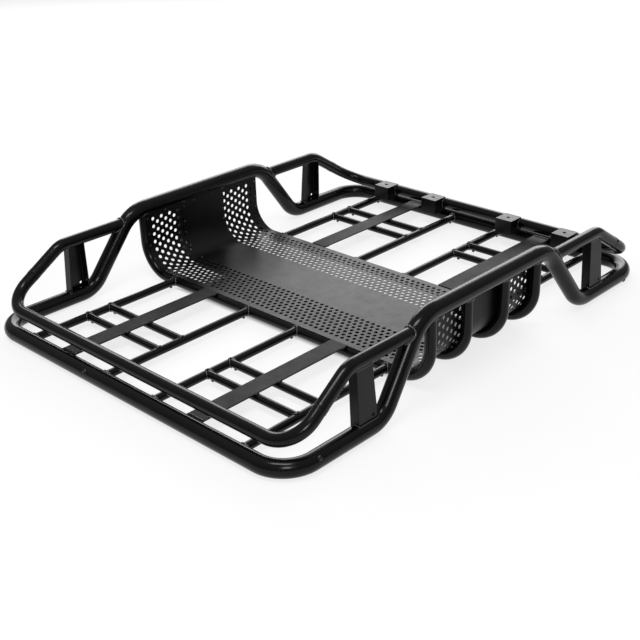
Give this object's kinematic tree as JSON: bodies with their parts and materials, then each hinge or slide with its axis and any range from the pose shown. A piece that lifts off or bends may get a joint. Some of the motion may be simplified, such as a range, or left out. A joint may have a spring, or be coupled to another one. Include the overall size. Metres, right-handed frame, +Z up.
{
  "type": "vehicle roof cargo basket",
  "caption": "Low roof cargo basket of bent and welded round steel tube with raised side rails, a rolled perforated middle pan, open end decks and rear lamp brackets.",
  "frame": {"origin": "middle of the footprint on the plane the low tubes rest on", "axes": "+Y along the vehicle towards the end with the lamp brackets, +X across it, +Z up"},
  "size_m": [0.986, 1.27, 0.207],
  "materials": {
    "tube": "semi-gloss black powder coat",
    "sheet": "satin black powder coat",
    "flat_steel": "satin black powder coat"
  },
  "bodies": {
    "root": {"cargo_pan": "sheet", "front_end_tube": "tube", "front_inner_left_bar": "tube", "front_inner_right_bar": "tube", "front_left_cross_tubes": "tube", "front_left_post": "flat_steel", "front_left_strip": "flat_steel", "front_left_upper_rail": "tube", "front_outer_left_bar": "tube", "front_outer_right_bar": "tube", "front_right_cross_tubes": "tube", "front_right_post": "flat_steel", "front_right_strip": "flat_steel", "front_right_upper_rail": "tube", "front_upper_bow": "tube", "inner_left_light_bracket": "flat_steel", "inner_right_light_bracket": "flat_steel", "left_side_rail": "tube", "outer_left_light_bracket": "flat_steel", "outer_right_light_bracket": "flat_steel", "pan_hoop_1": "tube", "pan_hoop_2": "tube", "pan_hoop_3": "tube", "pan_hoop_4": "tube", "rear_end_tube": "tube", "rear_inner_left_bar": "tube", "rear_inner_right_bar": "tube", "rear_left_cross_tubes": "tube", "rear_left_post": "flat_steel", "rear_left_strip": "flat_steel", "rear_left_upper_rail": "tube", "rear_outer_left_bar": "tube", "rear_outer_right_bar": "tube", "rear_right_cross_tubes": "tube", "rear_right_post": "flat_steel", "rear_right_strip": "flat_steel", "rear_right_upper_rail": "tube", "rear_upper_bow": "tube", "right_side_rail": "tube"}
  },
  "joints": []
}
